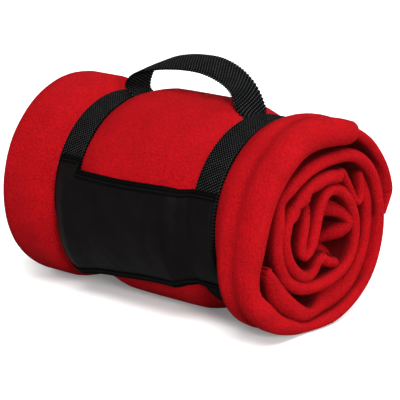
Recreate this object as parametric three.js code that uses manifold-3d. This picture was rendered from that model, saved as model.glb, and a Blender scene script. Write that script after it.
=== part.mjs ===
// A folded and rolled fleece blanket held in a webbing carry harness.
// The roll lies along X and rests on z = 0. The front panel faces -Y and the straps close at the back, +Y.
// Places on the roll are given as (x, turn, radius), where turn is in degrees from the top towards the front.
import * as THREE from "three";
import { mergeVertices } from "three/addons/utils/BufferGeometryUtils.js";
import Module from "manifold-3d";

const wasm = await Module();
wasm.setup();

// ---- driving dimensions, in millimetres and degrees ----

const ROLL_LENGTH = 268;
const BULGE_RADIUS = 84; // loose rolls of cloth outside the straps
const MIDDLE_RADIUS = 82.4; // cloth between the straps
const WAIST_RADIUS = 73; // cloth under the straps
const RESTING_WIDTH = 44; // flat that the weight of the roll presses into its underside
const SHOULDER_LENGTH = 24; // run from a strap's edge up to the full bulge
const FOLD_LIP_RADIUS = 14; // rounded fold at the right-hand end
const CUT_LIP_RADIUS = 5; // tighter edge at the left-hand end

const FOLD_THICKNESS = 12.4; // four layers of cloth, one turn of the spiral
const CORE_RADIUS = 11; // innermost turn, where the roll was started
const GROOVE_WIDTH = 2.4;
const GROOVE_DEPTH = 9;
const TURN_AT_OUTER_END = -70;

const WEBBING_WIDTH = 25;
const WEBBING_THICKNESS = 1.8;
const STRAP_SPACING = 144.5; // between the middles of the two straps
const GAP = 0.3; // clearance kept between pieces that touch

const OVERLAP_START = -52; // turn where the free tail leaves the strap, behind the top
const STRAP_SPLIT = 2; // between the strap's two ends, under the tail's root
const TAIL_LENGTH = 96;
const TAIL_ROOT_GAP = 1; // degrees of turn between the strap's end and the tail
const TAPE_WIDTH = 22;
const TAPE_THICKNESS = 0.9;
const HOOK_TAPE_LENGTH = 66;
const LOOP_TAPE_LENGTH = 80;
const TAIL_ROOT_LENGTH = 9; // webbing between the peel hinge and the hook tape

const PANEL_TOP_TURN = 66;
const PANEL_BOTTOM_TURN = 132;
const PANEL_THICKNESS = 0.7;
const PANEL_LEFT_INSET = 4; // strip of strap left showing beside the panel
const PANEL_RIGHT_INSET = 1;
const BINDING_WIDTH = 9;
const BINDING_THICKNESS = 0.5;

const HANDLE_THICKNESS = 2;
const HANDLE_RISE = 34; // middle of the grip's webbing above the legs' ends
const HANDLE_FOOT_LENGTH = 22;
const HANDLE_SQUARENESS = 2.6; // 2 is an ellipse, more is squarer
const HANDLE_CLEARANCE = 3.3; // under the turning legs

const THREAD = 0.5;
const SEAM_INSET = 3; // seam to the edge of the piece that it holds
const TAPE_SEAM_INSET = 1;
const BINDING_SEAM_INSET = 2;

const ROUND_SIDES = 48; // flats round every piece that follows the roll
const GROOVE_STEPS = 18; // straight runs in each turn of the spiral
const SHOULDER_STEPS = 4;
const FOLD_LIP_STEPS = 4;
const CUT_LIP_STEPS = 2;
const ARCH_STEPS = 28;
const LEG_END_STEPS = 10;
const PAST = 1; // cutting solids run this far past what they cut

// ---- sizes that follow ----

const HALF_LENGTH = ROLL_LENGTH / 2;
const ROLL_Z = Math.sqrt(BULGE_RADIUS ** 2 - (RESTING_WIDTH / 2) ** 2);
const STRAP_X = STRAP_SPACING / 2;
const HALF_WEBBING = WEBBING_WIDTH / 2;
const STRAP_OUT = GAP + WEBBING_THICKNESS;
const STRAP_RADIUS = WAIST_RADIUS + STRAP_OUT;
const LOOP_TAPE_LIFT = STRAP_OUT + GAP;
const HOOK_TAPE_LIFT = LOOP_TAPE_LIFT + TAPE_THICKNESS + GAP;
const TAIL_LIFT = HOOK_TAPE_LIFT + TAPE_THICKNESS + GAP;
const TAIL_OUT = TAIL_LIFT + WEBBING_THICKNESS;
const PANEL_LIFT = STRAP_OUT + 2 * GAP + BINDING_THICKNESS;
const PANEL_OUT = PANEL_LIFT + PANEL_THICKNESS;
const PANEL_LEFT_X = -STRAP_X - HALF_WEBBING + PANEL_LEFT_INSET;
const PANEL_RIGHT_X = STRAP_X + HALF_WEBBING - PANEL_RIGHT_INSET;
const BINDING_OUT = PANEL_OUT + GAP + BINDING_THICKNESS;
const FOOT_OUT = -GAP;
const FOOT_LIFT = FOOT_OUT - WEBBING_THICKNESS;

// ---- materials ----

const material = (color, roughness) => new THREE.MeshStandardMaterial({ color, roughness, metalness: 0 });
const fleece = () => material(0xb8141d, 0.95);
const webbing = () => material(0x141214, 0.7);
const nylon = () => material(0x17171a, 0.42);
const tape = () => material(0x101011, 0.9);
const thread = () => material(0x1c1c1e, 0.6);

// ---- solids ----

// Turns a closed geometry into a manifold solid.
function solid(geometry) {
  const bare = geometry.index ? geometry.toNonIndexed() : geometry.clone();
  bare.deleteAttribute("normal");
  bare.deleteAttribute("uv");
  const merged = mergeVertices(bare, 1e-4);
  const mesh = new wasm.Mesh({
    numProp: 3,
    vertProperties: new Float32Array(merged.attributes.position.array),
    triVerts: new Uint32Array(merged.index.array),
  });
  return new wasm.Manifold(mesh);
}

// Turns a manifold solid back into a geometry that a mesh can hold.
function geometryOf(body) {
  const mesh = body.getMesh();
  const geometry = new THREE.BufferGeometry();
  geometry.setAttribute("position", new THREE.BufferAttribute(new Float32Array(mesh.vertProperties), 3));
  geometry.setIndex(new THREE.BufferAttribute(new Uint32Array(mesh.triVerts), 1));
  geometry.computeVertexNormals();
  return geometry;
}

// A solid of revolution about the roll's axis, from a closed outline of [x, radius] points.
function revolved(outline) {
  const points = outline.map(([x, radius]) => new THREE.Vector2(radius, x));
  const geometry = new THREE.LatheGeometry(points, ROUND_SIDES);
  geometry.rotateZ(-Math.PI / 2);
  geometry.translate(0, 0, ROLL_Z);
  return solid(geometry);
}

// A straight prism along X whose section is a list of [y, z] points.
function prism(section, xFrom, xTo) {
  const shape = new THREE.Shape(section.map(([y, z]) => new THREE.Vector2(y, z)));
  const geometry = new THREE.ExtrudeGeometry(shape, { depth: xTo - xFrom, bevelEnabled: false });
  geometry.applyMatrix4(new THREE.Matrix4().set(0, 0, 1, xFrom, 1, 0, 0, 0, 0, 1, 0, 0, 0, 0, 0, 1));
  return solid(geometry);
}

// A point of the [y, z] plane at a turn from the top and a radius from the roll's axis.
function onTurn(turn, radius) {
  const angle = THREE.MathUtils.degToRad(turn);
  return [-radius * Math.sin(angle), ROLL_Z + radius * Math.cos(angle)];
}

// A wedge that holds the part of the roll between two turns less than 180 degrees apart.
function wedge(xFrom, xTo, turnFrom, turnTo) {
  const steps = Math.ceil((turnTo - turnFrom) / 30);
  const section = [[0, ROLL_Z]];
  for (let i = 0; i <= steps; i++) {
    section.push(onTurn(turnFrom + ((turnTo - turnFrom) * i) / steps, 3 * BULGE_RADIUS));
  }
  return prism(section, xFrom, xTo);
}

// Degrees of turn that a length covers at a radius.
const turnOf = (length, radius) => THREE.MathUtils.radToDeg(length / radius);

// ---- the roll's shape ----

// Radius of the cloth along the roll, before the lips: waists under the straps and bulges beside them.
function clothRadius(x) {
  const fromStrap = Math.abs(Math.abs(x) - STRAP_X) - HALF_WEBBING;
  const share = THREE.MathUtils.smoothstep(fromStrap, 0, SHOULDER_LENGTH);
  const bulge = Math.abs(x) < STRAP_X ? MIDDLE_RADIUS : BULGE_RADIUS;
  return WAIST_RADIUS + (bulge - WAIST_RADIUS) * share;
}

// Places along X where the cloth's radius changes, between two limits.
function stations(xFrom, xTo) {
  const marks = [xFrom, xTo, 0];
  for (const side of [-1, 1]) {
    for (let i = 0; i <= SHOULDER_STEPS; i++) {
      const fromStrap = HALF_WEBBING + (SHOULDER_LENGTH * i) / SHOULDER_STEPS;
      marks.push(side * (STRAP_X - fromStrap));
      marks.push(side * (STRAP_X + fromStrap));
    }
  }
  const inside = marks.filter((x) => x >= xFrom && x <= xTo);
  return [...new Set(inside)].sort((a, b) => a - b);
}

// A layer that lies over the cloth, between two lifts, two places and two turns.
function layer(xFrom, xTo, turnFrom, turnTo, liftFrom, liftTo) {
  const xs = stations(xFrom, xTo);
  const outer = xs.map((x) => [x, clothRadius(x) + liftTo]);
  const inner = xs.map((x) => [x, clothRadius(x) + liftFrom]).reverse();
  const ring = revolved([...outer, ...inner, outer[0]]);
  return ring.intersect(wedge(xFrom - PAST, xTo + PAST, turnFrom, turnTo));
}

// ---- blanket ----

// The handle's ends lie between the cloth and the straps.
const FOOT_TURN = turnOf(HALF_WEBBING, STRAP_RADIUS);
const footSpan = (side) => {
  const inner = STRAP_X - HALF_WEBBING + (WEBBING_WIDTH - HANDLE_FOOT_LENGTH) / 2;
  return [side * inner, side * (inner + HANDLE_FOOT_LENGTH)].sort((a, b) => a - b);
};

// The dent that a strap presses into the cloth round a handle's end.
function footDent(side) {
  const [xFrom, xTo] = footSpan(side);
  const turn = FOOT_TURN + turnOf(GAP, STRAP_RADIUS);
  return layer(xFrom - GAP, xTo + GAP, -turn, turn, FOOT_LIFT - GAP, PAST);
}

// The gap between the turns, inwards from the blanket's outer end to its innermost turn.
function spiralGroove(xFrom, xTo) {
  const turns = (BULGE_RADIUS - FOLD_THICKNESS - CORE_RADIUS) / FOLD_THICKNESS;
  const steps = Math.round(turns * GROOVE_STEPS);
  const outer = [];
  const inner = [];
  for (let i = 0; i <= steps; i++) {
    const done = (turns * i) / steps;
    const radius = BULGE_RADIUS - FOLD_THICKNESS * (1 + done);
    outer.push(onTurn(TURN_AT_OUTER_END + 360 * done, radius + GROOVE_WIDTH / 2));
    inner.push(onTurn(TURN_AT_OUTER_END + 360 * done, radius - GROOVE_WIDTH / 2));
  }
  return prism([...outer, ...inner.reverse()], xFrom, xTo);
}

// The rounded edge at one end of the roll, from its widest place to the end face.
function lip(end, radius, steps) {
  const points = [];
  for (let i = 0; i <= steps; i++) {
    const angle = (Math.PI / 2) * (i / steps);
    const x = HALF_LENGTH - radius * (1 - Math.sin(angle));
    points.push([end * x, BULGE_RADIUS - radius * (1 - Math.cos(angle))]);
  }
  return points;
}

function blanketGeometry() {
  const left = lip(-1, CUT_LIP_RADIUS, CUT_LIP_STEPS).reverse();
  const right = lip(1, FOLD_LIP_RADIUS, FOLD_LIP_STEPS);
  const between = stations(left.at(-1)[0] + PAST, right[0][0] - PAST).map((x) => [x, clothRadius(x)]);
  let cloth = revolved([[-HALF_LENGTH, 0], ...left, ...between, ...right, [HALF_LENGTH, 0]]);
  const wide = 2 * BULGE_RADIUS;
  const ground = [[-wide, -wide], [wide, -wide], [wide, 0], [-wide, 0]];
  cloth = cloth.subtract(prism(ground, -HALF_LENGTH - PAST, HALF_LENGTH + PAST));
  cloth = cloth.subtract(spiralGroove(-HALF_LENGTH - PAST, -HALF_LENGTH + GROOVE_DEPTH));
  cloth = cloth.subtract(spiralGroove(HALF_LENGTH - GROOVE_DEPTH, HALF_LENGTH + PAST));
  cloth = cloth.subtract(footDent(-1)).subtract(footDent(1));
  return geometryOf(cloth);
}

// ---- straps and their closures ----

const webbingSpan = (side) => [side * STRAP_X - HALF_WEBBING, side * STRAP_X + HALF_WEBBING];
const tapeSpan = (side) => [side * STRAP_X - TAPE_WIDTH / 2, side * STRAP_X + TAPE_WIDTH / 2];
const TAPE_START = OVERLAP_START - turnOf(TAIL_ROOT_LENGTH, STRAP_RADIUS);

// The strap goes round from the tail's root, over the top, the front and the underside, to under the tail.
function strapGeometry(side) {
  const [xFrom, xTo] = webbingSpan(side);
  const inner = WAIST_RADIUS + GAP;
  const section = [[xFrom, inner], [xFrom, STRAP_RADIUS], [xTo, STRAP_RADIUS], [xTo, inner], [xFrom, inner]];
  const ring = revolved(section);
  const split = OVERLAP_START - turnOf(STRAP_SPLIT, STRAP_RADIUS);
  return geometryOf(ring.subtract(wedge(xFrom - PAST, xTo + PAST, split, OVERLAP_START)));
}

function backTape(side, length, lift) {
  const end = TAPE_START - turnOf(length, WAIST_RADIUS + lift);
  return geometryOf(layer(...tapeSpan(side), end, TAPE_START, lift, lift + TAPE_THICKNESS));
}

// The tail lies outside both tapes.
function tailGeometry(side) {
  const end = OVERLAP_START - turnOf(TAIL_LENGTH, WAIST_RADIUS + TAIL_LIFT);
  return geometryOf(layer(...webbingSpan(side), end, OVERLAP_START - TAIL_ROOT_GAP, TAIL_LIFT, TAIL_OUT));
}

// A frame of thread round a patch of webbing.
function stitchFrame(xFrom, xTo, turnFrom, turnTo, lift) {
  const degrees = turnOf(THREAD, WAIST_RADIUS + lift);
  const top = lift + GAP + THREAD;
  const side = (x) => layer(x, x + THREAD, turnFrom, turnTo, lift + GAP, top);
  const end = (turn) => layer(xFrom, xTo, turn, turn + degrees, lift + GAP, top);
  return side(xFrom).add(side(xTo - THREAD)).add(end(turnFrom)).add(end(turnTo - degrees));
}

// The thread of the hook tape, seen on the tail's outer face.
function tailStitch(side) {
  const [xFrom, xTo] = tapeSpan(side);
  const inset = turnOf(SEAM_INSET, STRAP_RADIUS);
  const end = TAPE_START - turnOf(HOOK_TAPE_LENGTH, WAIST_RADIUS + HOOK_TAPE_LIFT);
  const span = [xFrom + TAPE_SEAM_INSET, xTo - TAPE_SEAM_INSET];
  return geometryOf(stitchFrame(...span, end + inset, TAPE_START - inset, TAIL_OUT));
}

// ---- front panel ----

function panelGeometry() {
  const turns = [PANEL_TOP_TURN, PANEL_BOTTOM_TURN];
  return geometryOf(layer(PANEL_LEFT_X, PANEL_RIGHT_X, ...turns, PANEL_LIFT, PANEL_OUT));
}

// A tape folded over one edge of the panel, with a leg on each face.
function bindingGeometry(edgeTurn, inward) {
  const reach = turnOf(BINDING_WIDTH, STRAP_RADIUS) * inward;
  const wrap = turnOf(GAP + BINDING_THICKNESS, STRAP_RADIUS) * inward;
  const turns = [edgeTurn - wrap, edgeTurn + reach].sort((a, b) => a - b);
  const hollow = [edgeTurn - turnOf(GAP, STRAP_RADIUS) * inward, edgeTurn + 2 * reach].sort((a, b) => a - b);
  const folded = layer(PANEL_LEFT_X, PANEL_RIGHT_X, ...turns, STRAP_OUT + GAP, BINDING_OUT);
  const lifts = [PANEL_LIFT - GAP, PANEL_OUT + GAP];
  const inside = layer(PANEL_LEFT_X - PAST, PANEL_RIGHT_X + PAST, ...hollow, ...lifts);
  return geometryOf(folded.subtract(inside));
}

function bindingSeam(edgeTurn, inward) {
  const start = edgeTurn + turnOf(BINDING_WIDTH - BINDING_SEAM_INSET, STRAP_RADIUS) * inward;
  const turns = [start, start + turnOf(THREAD, STRAP_RADIUS)];
  const lift = BINDING_OUT + GAP;
  return geometryOf(layer(PANEL_LEFT_X + THREAD, PANEL_RIGHT_X - THREAD, ...turns, lift, lift + THREAD));
}

function panelSeam(x) {
  const clear = turnOf(BINDING_WIDTH + GAP, STRAP_RADIUS);
  const turns = [PANEL_TOP_TURN + clear, PANEL_BOTTOM_TURN - clear];
  return geometryOf(layer(x, x + THREAD, ...turns, PANEL_OUT + GAP, PANEL_OUT + GAP + THREAD));
}

// ---- carry handle ----

const LEG_END_Z = ROLL_Z + STRAP_RADIUS + HANDLE_CLEARANCE;
const HANDLE_HINGE_Z = LEG_END_Z + HALF_WEBBING;
const HANDLE_HALF_SPAN = STRAP_X - HALF_WEBBING;

function footGeometry(side) {
  return geometryOf(layer(...footSpan(side), -FOOT_TURN, FOOT_TURN, FOOT_LIFT, FOOT_OUT));
}

// A squared box of thread with one bar across it, sewn through the strap and the handle's end below it.
function footStitch(side) {
  const [xFrom, xTo] = footSpan(side);
  const turn = FOOT_TURN - turnOf(SEAM_INSET, STRAP_RADIUS);
  const frame = stitchFrame(xFrom + SEAM_INSET, xTo - SEAM_INSET, -turn, turn, STRAP_OUT);
  const turns = [0, turnOf(THREAD, STRAP_RADIUS)];
  const lifts = [STRAP_OUT + GAP, STRAP_OUT + GAP + THREAD];
  return geometryOf(frame.add(layer(xFrom + SEAM_INSET, xTo - SEAM_INSET, ...turns, ...lifts)));
}

// The arch is drawn in XZ and has the webbing's width along Y. Its legs end round about the hinge line,
// so that they turn without meeting the feet.
function handleGeometry() {
  const arch = (grow) => {
    const points = [];
    for (let i = 0; i <= ARCH_STEPS; i++) {
      const angle = (Math.PI * i) / ARCH_STEPS;
      const across = Math.sign(Math.cos(angle)) * Math.abs(Math.cos(angle)) ** (2 / HANDLE_SQUARENESS);
      const up = Math.sin(angle) ** (2 / HANDLE_SQUARENESS);
      const halfSpan = HANDLE_HALF_SPAN - HANDLE_THICKNESS / 2 + grow;
      points.push([halfSpan * across, LEG_END_Z + (HANDLE_RISE + grow) * up]);
    }
    return points;
  };
  const outline = [...arch(HANDLE_THICKNESS / 2), ...arch(-HANDLE_THICKNESS / 2).reverse()];
  const shape = new THREE.Shape(outline.map(([x, z]) => new THREE.Vector2(x, z)));
  const band = new THREE.ExtrudeGeometry(shape, { depth: WEBBING_WIDTH, bevelEnabled: false });
  band.rotateX(Math.PI / 2);
  band.translate(0, HALF_WEBBING, 0);
  const top = HANDLE_HINGE_Z + HANDLE_RISE + PAST;
  const section = [[-HALF_WEBBING, top]];
  for (let i = 0; i <= LEG_END_STEPS; i++) {
    const angle = Math.PI + (Math.PI * i) / LEG_END_STEPS;
    section.push([HALF_WEBBING * Math.cos(angle), HANDLE_HINGE_Z + HALF_WEBBING * Math.sin(angle)]);
  }
  section.push([HALF_WEBBING, top]);
  return geometryOf(solid(band).intersect(prism(section, -STRAP_X, STRAP_X)));
}

// ---- assembly ----

const group = new THREE.Group();

function add(name, geometry, finish) {
  const mesh = new THREE.Mesh(geometry, finish);
  mesh.name = name;
  group.add(mesh);
}

add("blanket", blanketGeometry(), fleece());
for (const [name, side] of [["left", -1], ["right", 1]]) {
  add(`${name}_strap`, strapGeometry(side), webbing());
  add(`${name}_strap_tail`, tailGeometry(side), webbing());
  add(`${name}_loop_tape`, backTape(side, LOOP_TAPE_LENGTH, LOOP_TAPE_LIFT), tape());
  add(`${name}_hook_tape`, backTape(side, HOOK_TAPE_LENGTH, HOOK_TAPE_LIFT), tape());
  add(`${name}_tail_stitch`, tailStitch(side), thread());
  add(`handle_${name}_foot`, footGeometry(side), webbing());
  add(`handle_${name}_stitch`, footStitch(side), thread());
}
add("carry_handle", handleGeometry(), webbing());
add("front_panel", panelGeometry(), nylon());
add("panel_top_binding", bindingGeometry(PANEL_TOP_TURN, 1), webbing());
add("panel_bottom_binding", bindingGeometry(PANEL_BOTTOM_TURN, -1), webbing());
add("panel_top_seam", bindingSeam(PANEL_TOP_TURN, 1), thread());
add("panel_bottom_seam", bindingSeam(PANEL_BOTTOM_TURN, -1), thread());
add("panel_left_seam", panelSeam(PANEL_LEFT_X + SEAM_INSET), thread());
add("panel_right_seam", panelSeam(PANEL_RIGHT_X - SEAM_INSET), thread());

export default group;
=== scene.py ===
import math
import bpy
import numpy as np
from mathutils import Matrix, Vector


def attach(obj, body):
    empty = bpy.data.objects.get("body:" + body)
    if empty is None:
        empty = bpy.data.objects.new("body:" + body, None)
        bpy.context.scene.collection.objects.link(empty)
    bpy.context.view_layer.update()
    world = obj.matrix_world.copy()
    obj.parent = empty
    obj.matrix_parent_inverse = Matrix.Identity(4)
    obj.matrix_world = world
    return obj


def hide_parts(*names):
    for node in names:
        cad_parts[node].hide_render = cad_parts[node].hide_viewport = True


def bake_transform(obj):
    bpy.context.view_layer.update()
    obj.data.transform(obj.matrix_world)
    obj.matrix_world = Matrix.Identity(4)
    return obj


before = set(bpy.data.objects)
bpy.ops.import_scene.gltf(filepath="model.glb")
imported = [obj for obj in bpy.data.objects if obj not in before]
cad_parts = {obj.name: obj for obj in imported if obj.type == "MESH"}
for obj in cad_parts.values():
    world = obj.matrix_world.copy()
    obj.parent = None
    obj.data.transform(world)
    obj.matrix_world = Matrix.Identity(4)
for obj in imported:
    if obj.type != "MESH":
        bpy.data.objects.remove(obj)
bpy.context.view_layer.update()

# ---- camera ----
# It looks down a little on the front and the right-hand end of the roll, from about a metre and a half away.

AIM = Vector((0.0032, 0.0, 0.0792))
CAMERA_TURN = math.radians(42)
CAMERA_RISE = math.radians(14.5)
CAMERA_DISTANCE = 1.536
CAMERA_LENS = 175.1

back = Vector((
    math.sin(CAMERA_TURN) * math.cos(CAMERA_RISE),
    -math.cos(CAMERA_TURN) * math.cos(CAMERA_RISE),
    math.sin(CAMERA_RISE),
))
camera = bpy.data.objects.new("camera", bpy.data.cameras.new("camera"))
camera.data.lens = CAMERA_LENS
camera.data.clip_start = 0.05
camera.location = AIM + back * CAMERA_DISTANCE
camera.rotation_euler = back.to_track_quat("Z", "Y").to_euler()
bpy.context.scene.collection.objects.link(camera)
bpy.context.scene.camera = camera

# ---- blanket ----
# One sheet of brushed fleece, 1.2 x 1.5 m and 2.9 mm thick, folded twice lengthwise into a band of four layers.
# The band is rolled from its middle: it winds in from the back, turns over at the core and winds out again, so
# its folds show as soft lips at the right-hand end and its cut edges at the left-hand end.

MM = 0.001
CLOTH = 2.9
HALF_LENGTH = 134.0
ROLL_Z = 81.068
BULGE_RADIUS = 84.0
MIDDLE_RADIUS = 82.4
WAIST_RADIUS = 73.0
MIDDLE_SHOULDER = 28.0  # how far from a strap the roll is full again, between the straps
END_SHOULDER = 21.0  # and outside them
STRAP_X = 72.25
HALF_WEBBING = 12.5
CREASE_X = 112.0  # a shallow crease round the right-hand end
CREASE_DEPTH = 2.6
CREASE_SPREAD = 4.5
STRAP_EDGE = STRAP_X + HALF_WEBBING
CUT_STEPS = (0.8, 4.0, 2.4, -2.0)  # how far each layer's cut edge lies in from the left-hand end
FLEECE_RED = (0.66, 0.005, 0.0105, 1)
# The darker colour is partly the nap's own random tone and partly painted shade, which the cloth takes on down
# between its folds and in the crease at the right-hand end.
FLEECE_DARK_TONE_AND_SHADE = (0.06, 0.0005, 0.001, 1)

# The band's course at the right-hand end, from the blanket's outer end to its inner one: place to the back and
# upwards from the roll's axis, thickness, how far its fold stands back, and how it spreads inside the roll.
COURSE = [
    # outer flap, behind and over the top
    (74.5, -5, 7, 5, 1), (79, 3, 7, 5, 1), (83, 12, 7, 5, 1), (80.5, 22, 7, 5, 1), (75.5, 32.5, 7, 5, 1),
    (68.5, 42, 7.5, 5, 1), (59.5, 51.5, 8, 5, 1), (51, 58.5, 8, 6, 1), (43.5, 63.5, 8, 9, 1), (38.5, 65, 11, 8, 1),
    (35.5, 65.5, 17, 2, 1),
    # first lip: broad over the top, thin at the front and below
    (29, 66, 20, 0, 1), (14, 69, 22.5, -2, 1), (-8, 70.5, 25, -2, 1), (-28, 67, 26, -2, 1), (-45, 56, 25, -1, 1),
    (-60, 40, 24, 0, 1), (-69, 25, 21, 0, 1), (-74.5, 8, 17, 0, 1), (-76.5, -8, 14, 1, 1), (-75.5, -23, 11, 3, 1),
    (-72, -36, 10, 2, 1), (-65, -47, 12, -1, 1), (-53, -60, 12, -1, 1), (-37, -69.5, 11, 2, 1),
    (-20, -75.5, 9.5, 5, 1), (0, -76.5, 10, 4, 1), (20, -74, 10, 4, 1), (38, -66.5, 10, 4, 1), (52, -56.5, 9, 4, 1),
    (61, -46, 8.5, 4, 1),
    # second lip
    (67, -33, 9, 4, 0.95), (70.5, -19, 9, 4, 0.92), (71, -5, 9, 4, 0.89), (69, 8, 9, 4, 0.89),
    (65.5, 20, 9.5, 4, 0.9), (60, 30, 9.5, 4, 0.92), (52, 38.5, 10, 4, 0.96), (42, 45, 10, 4, 1.02),
    (30, 48.5, 10.5, 4, 1.1), (15, 49, 10.5, 4, 1.18), (0, 48, 10.5, 4, 1.22), (-15, 45, 10.5, 4, 1.22),
    (-28, 39.5, 10.5, 4, 1.2), (-38, 32.5, 10, 5, 1.18), (-44.5, 26.5, 9, 7, 1.17), (-46.5, 20, 9, 7, 1.16),
    (-49, 11, 10, 5, 1.16), (-51, -2, 10, 5, 1.14), (-50, -15, 10, 5, 1.12), (-45.5, -27, 10, 5, 1.08),
    (-37, -37.5, 10, 5, 1.04), (-22, -45, 10.5, 5, 1), (-3, -47, 10.5, 5, 0.96), (14, -45, 10, 5, 0.92),
    (28, -39.5, 9.5, 5, 0.87), (36.5, -31, 9, 5, 0.83),
    # ring and arch about the hollow
    (41, -19, 8.5, 5, 0.8), (41.5, -7, 8.5, 5, 0.8), (38.5, 4, 8.5, 5, 0.82), (32, 14, 8.5, 5, 0.88),
    (23, 22, 9, 5, 0.96), (12, 25, 9.5, 5, 1), (4, 22, 9.5, 5, 1), (-2, 13, 9.5, 5, 1), (-5.5, 2, 10, 5, 1),
    # tongue
    (-8.5, -8, 10, 5, 1), (-13, -17, 9, 5, 1), (-19, -21, 8.5, 6, 1), (-21, -14, 9, 7, 1), (-19, -5, 9, 7, 1),
    (-15.5, 5, 9, 8, 1), (-10, 13, 8, 12, 1), (8, 9, 12, 25, 0.9), (22, 7.5, 13, 15, 0.8), (31, 2.5, 9, 9, 0.8),
    (35, -5, 8, 6, 0.8), (31, -10.5, 12, 8, 0.85), (27, -15, 16, 14, 0.9), (24, -24, 9, 30, 0.9),
    # third lip, from the bump under the hollow round to the top
    (30, -32, 7, 23, 0.85), (27, -36, 7.5, 13, 0.9), (19, -34, 8.5, 8, 0.9), (11, -31.5, 8.5, 8, 0.9),
    (5, -27.5, 9, 7, 0.9),
    (-1.5, -29, 9, 7, 0.9), (-4.5, -35, 9, 8, 0.95), (-12, -38, 9.5, 7, 0.98), (-20, -36.5, 9.5, 6, 1),
    (-28, -31, 10, 6, 1.02), (-35, -23, 10, 6, 1.04), (-40, -12, 10, 6, 1.05), (-41, -3, 9.5, 6, 1.05),
    (-39.5, 3, 13, 6, 1.06), (-37.5, 9, 8.5, 6, 1.06), (-32.5, 14, 14, 5, 1.08), (-29, 20.5, 9, 5, 1.1),
    (-21.5, 24, 14.5, 4, 1.15), (-17.5, 30, 9.5, 4, 1.2), (-9, 32.5, 11.5, 3, 1.22), (0, 35, 11, 3, 1.25),
    (10, 35.3, 11, 3, 1.22), (18, 34, 10.5, 3, 1.15),
    # folds behind the third lip
    (23, 35.5, 8, 6, 1.1), (28.5, 35, 6, 9, 1.05), (33, 28, 6, 9, 1), (38, 19, 6, 8.5, 0.97), (42.5, 11, 6, 8, 0.95),
    (46.5, 8.5, 6, 8, 0.95), (49.5, 13, 6, 8, 0.93), (50, 22, 6, 8.5, 0.9), (49.5, 29, 6, 9, 0.87),
    (53, 28.5, 6, 12, 0.85), (57, 19, 9, 10, 0.8), (60.5, 7, 10, 9, 0.78), (61.5, -6, 10, 9, 0.78),
    (60.5, -19, 10, 9, 0.8), (56.5, -32, 11, 9, 0.84), (49, -45.5, 13, 9, 0.9), (37, -56.5, 16.5, 9, 0.95),
    (22, -62, 19, 9, 0.97), (9, -64.5, 18, 9, 0.98), (1, -66, 13, 8, 0.98),
    # the inner end, a corner that stands out below the second lip
    (-8, -67, 9, 6, 0.98), (-18, -66, 11, 4, 0.98), (-30, -60, 15, 3.5, 0.98), (-42, -50.5, 17, 3.5, 0.98),
    (-52, -40, 16, 3.5, 0.97), (-58.5, -31, 12, 3, 0.96), (-63.5, -24.5, 8, 3, 0.94), (-65.5, -20.5, 6, 3, 0.94),
]
LOOSE = 14.0  # thickness of the band where nothing presses on it
OUTER_LAP_KNOTS = 43  # how many of the knots make the outer turn and the start of the second lip
COURSE_STARTS, COURSE_WHOLE = 70, 125  # along the roll, where the even wrap turns into the course at its end
OUTER_START = 17  # how far in from the blanket's end the two outer layers begin
OUTER_SHORT = 21  # how much shorter they are than the two inner ones
END_SAG, FAR_SAG = 10, 2.5
SAG_TURN, SAG_SPREAD = 120, 27
CORE_WRING = 140  # degrees
FLOOR_PRESS = 2.4  # height below which the cloth is pressed flat on the floor


def cloth_radius(x):
    """Radius of the roll along its length: a waist under each strap and loose bulges beside them."""
    shoulder = np.where(np.abs(x) < STRAP_X, MIDDLE_SHOULDER, END_SHOULDER)
    share = np.clip((np.abs(np.abs(x) - STRAP_X) - HALF_WEBBING) / shoulder, 0, 1)
    share = 0.45 * share * share * (3 - 2 * share) + 0.55 * np.sqrt(share * (2 - share))
    bulge = np.where(np.abs(x) < STRAP_X, MIDDLE_RADIUS, BULGE_RADIUS)
    dent = CREASE_DEPTH * np.exp(-((x - CREASE_X) / CREASE_SPREAD) ** 2)
    return WAIST_RADIUS + (bulge - WAIST_RADIUS) * share - dent


def smooth(value, low, high):
    share = np.clip((value - low) / (high - low), 0, 1)
    return share * share * (3 - 2 * share)


def through(points, per_span):
    """A smooth curve through a list of points of any width."""
    points = np.asarray(points, float)
    ends = np.vstack([2 * points[0] - points[1], points, 2 * points[-1] - points[-2]])
    t = np.linspace(0, 1, per_span, endpoint=False)[:, None]
    spans = []
    for a, b, c, d in zip(ends[:-3], ends[1:-2], ends[2:-1], ends[3:]):
        square, cube = 2 * a - 5 * b + 4 * c - d, 3 * b - a - 3 * c + d
        spans.append(0.5 * (2 * b + (c - a) * t + square * t**2 + cube * t**3))
    return np.vstack(spans + [points[-1:]])


def on_turn(turn, radius):
    """Places in the plane across the roll, as distances from its axis to the back and upwards."""
    angle = np.radians(turn)
    return np.stack([-radius * np.sin(angle), radius * np.cos(angle)], -1)


course = np.array(COURSE, float)
# Inside the roll the outer turn is an even round wrap, which sinks under the blanket's own end at the back.
radius = np.hypot(course[:, 0], course[:, 1])
lap = np.degrees(np.unwrap(np.arctan2(-course[:, 0], course[:, 1])))
even_radius = np.interp(lap, [-96, 190, 262, 276], [BULGE_RADIUS - LOOSE / 2 + 0.5] * 2 + [64.5, 63])
first_lap = np.clip((285 - lap) / 20, 0, 1) * (np.arange(len(course)) < OUTER_LAP_KNOTS)
spread = course[:, 4] + (even_radius / radius - course[:, 4]) * first_lap
even = course.copy()
even[:, :2] *= spread[:, None]
even[:, 2] = LOOSE - 1
near_line = through(course, 12)
even_line = through(even, 12)
steps = np.hypot(*np.diff(near_line[:, :2], axis=0).T)
heading = np.unwrap(np.arctan2(*np.diff(near_line[:, :2], axis=0).T))
bends = np.abs(np.diff(heading, append=heading[-1]))
run = np.concatenate([[0], np.cumsum(steps)])
pace = np.concatenate([[0], np.cumsum(steps + 6 * bends)])

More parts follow.
